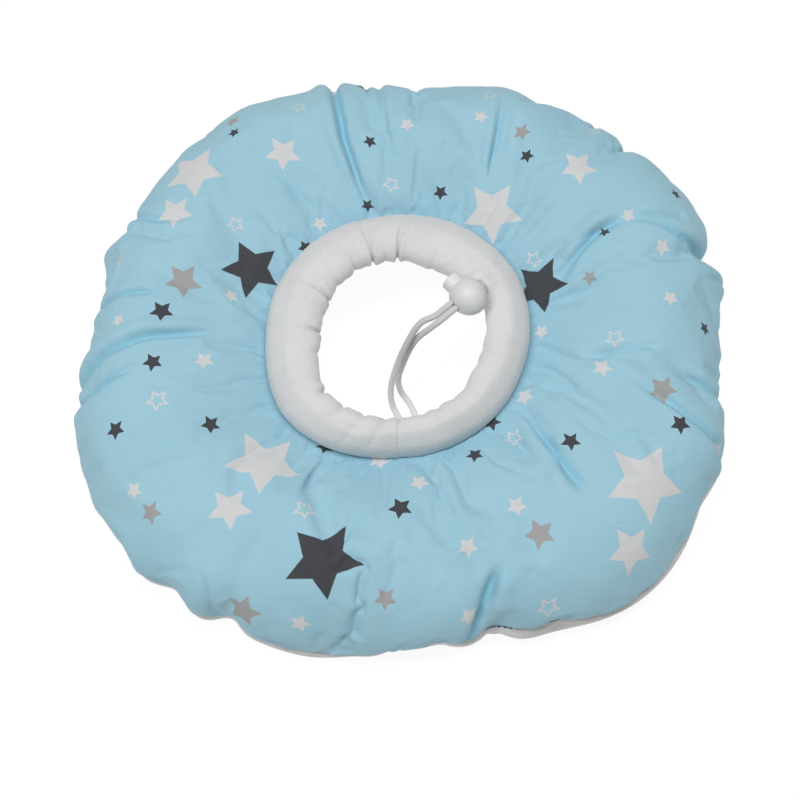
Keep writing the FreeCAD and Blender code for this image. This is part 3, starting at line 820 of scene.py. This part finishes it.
class Look:
    """A Principled material and short ways to add nodes to it."""

    def __init__(self, name, **values):
        self.material = bpy.data.materials.new(name)
        self.material.use_nodes = True
        self.tree = self.material.node_tree
        self.shader = self.tree.nodes["Principled BSDF"]
        for socket, value in values.items():
            self.shader.inputs[socket.replace("_", " ")].default_value = value

    def add(self, kind, *inputs, **settings):
        node = self.tree.nodes.new(kind)
        for key, value in settings.items():
            setattr(node, key, value)
        for socket, value in zip(node.inputs, inputs):
            self.put(socket, value)
        return node

    def put(self, socket, value):
        if value is None:
            return
        if isinstance(value, bpy.types.NodeSocket):
            self.tree.links.new(value, socket)
        else:
            socket.default_value = value

    def math(self, operation, *inputs, clamp=False):
        node = self.add("ShaderNodeMath", *inputs, operation=operation, use_clamp=clamp)
        return node.outputs[0]

    def place(self):
        return self.add("ShaderNodeTexCoord").outputs["Object"]

    def attribute(self, name, output="Vector"):
        return self.add("ShaderNodeAttribute", attribute_name=name).outputs[output]

    def scaled(self, vector, factors):
        return self.add("ShaderNodeVectorMath", vector, factors, operation="MULTIPLY").outputs[0]

    def noise(self, vector, scale, detail=3.0, roughness=0.55):
        node = self.add("ShaderNodeTexNoise")
        self.put(node.inputs["Vector"], vector)
        self.put(node.inputs["Scale"], scale)
        self.put(node.inputs["Detail"], detail)
        self.put(node.inputs["Roughness"], roughness)
        return node.outputs["Fac"]

    def mix(self, share, a, b):
        node = self.add("ShaderNodeMix", data_type="RGBA")
        self.put(node.inputs["Factor"], share)
        self.put(node.inputs["A"], a if isinstance(a, bpy.types.NodeSocket) else (*a, 1))
        self.put(node.inputs["B"], b if isinstance(b, bpy.types.NodeSocket) else (*b, 1))
        return node.outputs["Result"]

    def ramp(self, value, low, high, to_low=0.0, to_high=1.0):
        node = self.add("ShaderNodeMapRange", value, low, high, to_low, to_high)
        return node.outputs[0]

    def bump(self, height, strength, distance):
        node = self.add("ShaderNodeBump")
        self.put(node.inputs["Strength"], strength)
        self.put(node.inputs["Distance"], distance)
        self.put(node.inputs["Height"], height)
        self.put(self.shader.inputs["Normal"], node.outputs[0])

    def colour(self, value):
        self.put(self.shader.inputs["Base Color"], value)


def weave(look, flat):
    """Plain weave with slubs: uneven thicker threads, mostly along X. Height from 0 to 1."""
    weft = look.noise(look.scaled(flat, (160, 2900, 1)), 1.0, 2.0)
    warp = look.noise(look.scaled(flat, (2900, 160, 1)), 1.0, 2.0)
    slub = look.noise(look.scaled(flat, (75, 1250, 1)), 1.0, 3.0, 0.6)
    height = look.math("ADD", look.math("MULTIPLY", weft, 0.5), look.math("MULTIPLY", warp, 0.3))
    return look.math("ADD", height, look.math("MULTIPLY", slub, 0.35)), slub


def star_edge(look, place_in_star):
    """Signed distance to a five-pointed star's edge, in star radii, negative inside."""
    parts = look.add("ShaderNodeSeparateXYZ", place_in_star)
    x, y, kind = parts.outputs
    down = look.math("MULTIPLY", y, -1.0)
    radius = look.math("SQRT", look.math("ADD", look.math("MULTIPLY", x, x), look.math("MULTIPLY", y, y)))
    angle = look.math("ARCTAN2", x, down)
    fifth = math.radians(72)
    turned = look.math("ADD", angle, fifth * 5.5)
    folded = look.math("ABSOLUTE", look.math("SUBTRACT", look.math("MODULO", turned, fifth), fifth / 2))
    along = look.math("MULTIPLY", radius, look.math("COSINE", folded))
    across = look.math("MULTIPLY", radius, look.math("SINE", folded))
    inner = 0.5
    ix, iy = inner * math.cos(fifth / 2), inner * math.sin(fifth / 2)
    size = math.hypot(1 - ix, iy)
    nx, ny = iy / size, (1 - ix) / size
    edge = look.math("ADD", look.math("MULTIPLY", along, nx), look.math("MULTIPLY", across, ny))
    return look.math("SUBTRACT", edge, nx), kind


def printed_cotton():
    look = Look("printed_cotton", Roughness=0.82, Sheen_Weight=0.12, Sheen_Roughness=0.5)
    look.shader.inputs["Specular IOR Level"].default_value = 0.22
    flat = look.attribute("flat")
    height, slub = weave(look, flat)
    cloudy = look.noise(flat, 28.0, 3.0)
    base = look.mix(look.ramp(cloudy, 0.3, 0.7), (0.315, 0.556, 0.668), (0.350, 0.586, 0.690))
    base = look.mix(look.ramp(slub, 0.40, 0.72, 0.0, 0.4), base, (0.400, 0.636, 0.735))
    # darker blue where the weave's threads lie low: painted shade between the threads
    base = look.mix(look.ramp(height, 0.46, 0.30, 0.0, 0.5), base, (0.250, 0.500, 0.640))
    # darker, more saturated blue inside the creases: painted shade
    crease = look.attribute("crease", "Fac")
    base = look.mix(look.ramp(crease, 0.05, 0.95, 0.0, 0.5), base, (0.170, 0.490, 0.640))
    # darker, greyer blue towards the neck band: painted shade
    neck = look.attribute("neck_painted_shade", "Fac")
    base = look.mix(look.ramp(neck, 0.0, 1.0, 0.0, 0.35), base, (0.26, 0.47, 0.60))
    edge, kind = star_edge(look, look.attribute("star"))
    ragged = look.math("MULTIPLY", look.math("SUBTRACT", height, 0.5), 0.03)
    inside = look.ramp(look.math("ADD", edge, ragged), 0.012, -0.012)
    ring = look.math("MULTIPLY", inside, look.ramp(edge, -0.165, -0.135))
    grain = look.noise(look.scaled(flat, (2600, 2600, 1)), 1.0, 2.0, 0.7)
    dark = look.mix(look.ramp(grain, 0.32, 0.68), (0.030, 0.033, 0.041), (0.085, 0.089, 0.100))
    grey = look.mix(look.ramp(grain, 0.32, 0.68), (0.300, 0.298, 0.300), (0.420, 0.418, 0.420))
    white = look.mix(look.ramp(slub, 0.3, 0.7), (0.610, 0.616, 0.620), (0.655, 0.660, 0.664))
    for number, colour, mask in ((1, dark, inside), (2, grey, inside), (3, white, inside), (4, white, ring)):
        chosen = look.math("COMPARE", kind, float(number), 0.3)
        base = look.mix(look.math("MULTIPLY", chosen, mask), base, colour)
    look.colour(base)
    look.bump(height, 0.55, 0.00035)
    return look.material


def white_cotton():
    look = Look("white_cotton", Roughness=0.86, Sheen_Weight=0.1)
    height, slub = weave(look, look.attribute("flat"))
    look.colour(look.mix(look.ramp(slub, 0.3, 0.7), (0.66, 0.66, 0.655), (0.75, 0.75, 0.745)))
    look.bump(height, 0.5, 0.00035)
    return look.material


def fleece():
    look = Look("fleece", Roughness=0.95, Sheen_Weight=0.35, Sheen_Roughness=0.6)
    look.shader.inputs["Specular IOR Level"].default_value = 0.15
    where = look.place()
    nap = look.noise(where, 2400.0, 3.0, 0.7)
    tuft = look.noise(where, 520.0, 3.0, 0.6)
    soft = look.noise(where, 55.0, 2.0)
    base = look.mix(look.ramp(soft, 0.3, 0.7), (0.660, 0.654, 0.650), (0.710, 0.704, 0.700))
    base = look.mix(look.ramp(tuft, 0.35, 0.7, 0.0, 0.5), base, (0.760, 0.760, 0.760))
    # greyer fleece in the pleat valleys: painted shade
    base = look.mix(look.ramp(look.attribute("pleat", "Fac"), 0.1, 1.0, 0.0, 0.5), base, (0.46, 0.46, 0.47))
    look.colour(base)
    height = look.math("ADD", look.math("MULTIPLY", nap, 0.4), look.math("MULTIPLY", tuft, 0.6))
    look.bump(height, 0.5, 0.0005)
    return look.material


def fibre():
    look = Look("fibre_filling", Roughness=1.0)
    where = look.place()
    tuft = look.noise(where, 160.0, 6.0, 0.7)
    look.colour(look.mix(tuft, (0.72, 0.72, 0.71), (0.86, 0.86, 0.85)))
    look.bump(tuft, 0.8, 0.002)
    return look.material


def braid(name, light, groove_painted_shade, around_count, per_mm):
    """Braided cord: two sets of strands wound opposite ways, from the piece's own lay, with painted shade in
    the grooves between the strands and painted light on their crowns.
    """
    look = Look(name, Roughness=0.8, Sheen_Weight=0.15)
    parts = look.add("ShaderNodeSeparateXYZ", look.attribute("lay"))
    turn = look.math("MULTIPLY", parts.outputs[0], 2 * math.pi * around_count)
    run = look.math("MULTIPLY", parts.outputs[1], per_mm)
    one = look.math("ABSOLUTE", look.math("SINE", look.math("ADD", turn, run)))
    two = look.math("ABSOLUTE", look.math("SINE", look.math("SUBTRACT", turn, run)))
    height = look.math("MAXIMUM", look.math("MULTIPLY", one, 0.9), two)
    where = look.place()
    fuzz = look.noise(where, 3000.0, 2.0)
    # crowns of the strands light and grooves dark: painted light and painted shade
    base = look.mix(look.ramp(height, 0.55, 0.95), groove_painted_shade, light)
    look.colour(look.mix(look.ramp(fuzz, 0.4, 0.7, 0.0, 0.3), base, (0.74, 0.74, 0.735)))
    look.bump(height, 0.6, 0.00035)
    return look.material


def thread():
    look = Look("thread", Roughness=0.7, Sheen_Weight=0.1)
    where = look.place()
    twist = look.noise(look.scaled(where, (2500, 2500, 6000)), 1.0, 1.0)
    look.colour(look.mix(twist, (0.55, 0.56, 0.57), (0.72, 0.72, 0.72)))
    look.bump(twist, 0.4, 0.0002)
    return look.material


def plastic(name, tint):
    look = Look(name, Roughness=0.42, IOR=1.46)
    look.shader.inputs["Subsurface Weight"].default_value = 0.12
    look.shader.inputs["Subsurface Radius"].default_value = (0.002, 0.002, 0.002)
    where = look.place()
    cloud = look.noise(where, 180.0, 3.0)
    look.colour(look.mix(cloud, tint, tuple(c * 1.06 for c in tint)))
    look.put(look.shader.inputs["Roughness"], look.ramp(look.noise(where, 900.0), 0.3, 0.7, 0.38, 0.48))
    look.bump(cloud, 0.12, 0.0004)
    return look.material


def steel():
    look = Look("spring_steel", Metallic=1.0, Roughness=0.3)
    where = look.place()
    look.colour(look.mix(look.noise(where, 2000.0), (0.50, 0.50, 0.50), (0.66, 0.66, 0.66)))
    return look.material


def wear(piece, material):
    piece.data.materials.clear()
    piece.data.materials.append(material)


cotton, lining, nap, fibres = printed_cotton(), white_cotton(), fleece(), fibre()
# crown colour with painted light, then the painted shade of the grooves
cord_look = braid("cord", (0.70, 0.70, 0.695), (0.54, 0.54, 0.54), 7, 2.0)
thread_look = thread()
ball_look = plastic("lock_ball", (0.70, 0.70, 0.70))
button_look = plastic("lock_button", (0.73, 0.73, 0.73))
spring_look = steel()

for piece, material, body, slot, nodes in (
    (top_cover, cotton, "collar", "printed_cotton", ["top_cover"]),
    (back_cover, lining, "collar", "white_cotton", ["back_cover"]),
    (filling, fibres, "collar", "fibre_filling", ["filling"]),
    (neck_band, nap, "collar", "fleece", ["neck_band"]),
    (outer_stitches, thread_look, "collar", "thread", ["outer_seam_stitching"]),
    (neck_stitches, thread_look, "collar", "thread", ["neck_seam_stitching"]),
    (end_stitches, thread_look, "collar", "thread", ["band_end_stitching"]),
    (hole_stitches, thread_look, "collar", "thread", ["buttonhole_stitching"]),
    (tail_left, cord_look, "collar", "cord", ["drawstring_tail_left"]),
    (tail_right, cord_look, "collar", "cord", ["drawstring_tail_right"]),
    (channel_cord, cord_look, "collar", "cord", ["drawstring"]),
    (knot_left, cord_look, "collar", "cord", ["knot_left"]),
    (knot_right, cord_look, "collar", "cord", ["knot_right"]),
):
    wear(piece, material)
    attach(piece, body)
    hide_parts(*nodes)

for node, material in (("cord_lock_body", ball_look),
                       ("cord_lock_plunger", button_look), ("cord_lock_spring", spring_look)):
    wear(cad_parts[node], material)


# ---------------------------------------------------------------- floor and light

def add_floor():
    floor = add_mesh("floor", [(-9000, -9000, 0), (9000, -9000, 0), (9000, 9000, 0), (-9000, 9000, 0)],
                     [[0, 1, 2, 3]], smooth=False)
    look = Look("floor", Roughness=0.9)
    look.shader.inputs["Specular IOR Level"].default_value = 0.1
    look.colour((0.12, 0.12, 0.12, 1))
    look.shader.inputs["Emission Color"].default_value = (1, 1, 1, 1)
    look.shader.inputs["Emission Strength"].default_value = 0.9
    wear(floor, look.material)


def area_light(name, at, size_x, size_y, power):
    data = bpy.data.lights.new(name, "AREA")
    data.shape = "RECTANGLE"
    data.size = size_x
    data.size_y = size_y
    data.energy = power
    lamp = bpy.data.objects.new(name, data)
    lamp.location = at
    lamp.rotation_mode = "QUATERNION"
    lamp.rotation_quaternion = (Vector((0, 0, 0.02)) - lamp.location).to_track_quat("-Z", "Y")
    scene.collection.objects.link(lamp)


add_floor()
area_light("top_softbox", (-0.12, -0.05, 1.5), 0.35, 1.9, 22.5)
world = bpy.data.worlds.new("studio")
world.use_nodes = True
world.node_tree.nodes["Background"].inputs[0].default_value = (1, 1, 1, 1)
world.node_tree.nodes["Background"].inputs[1].default_value = 0.15
scene.world = world
scene.view_settings.view_transform = "Standard"
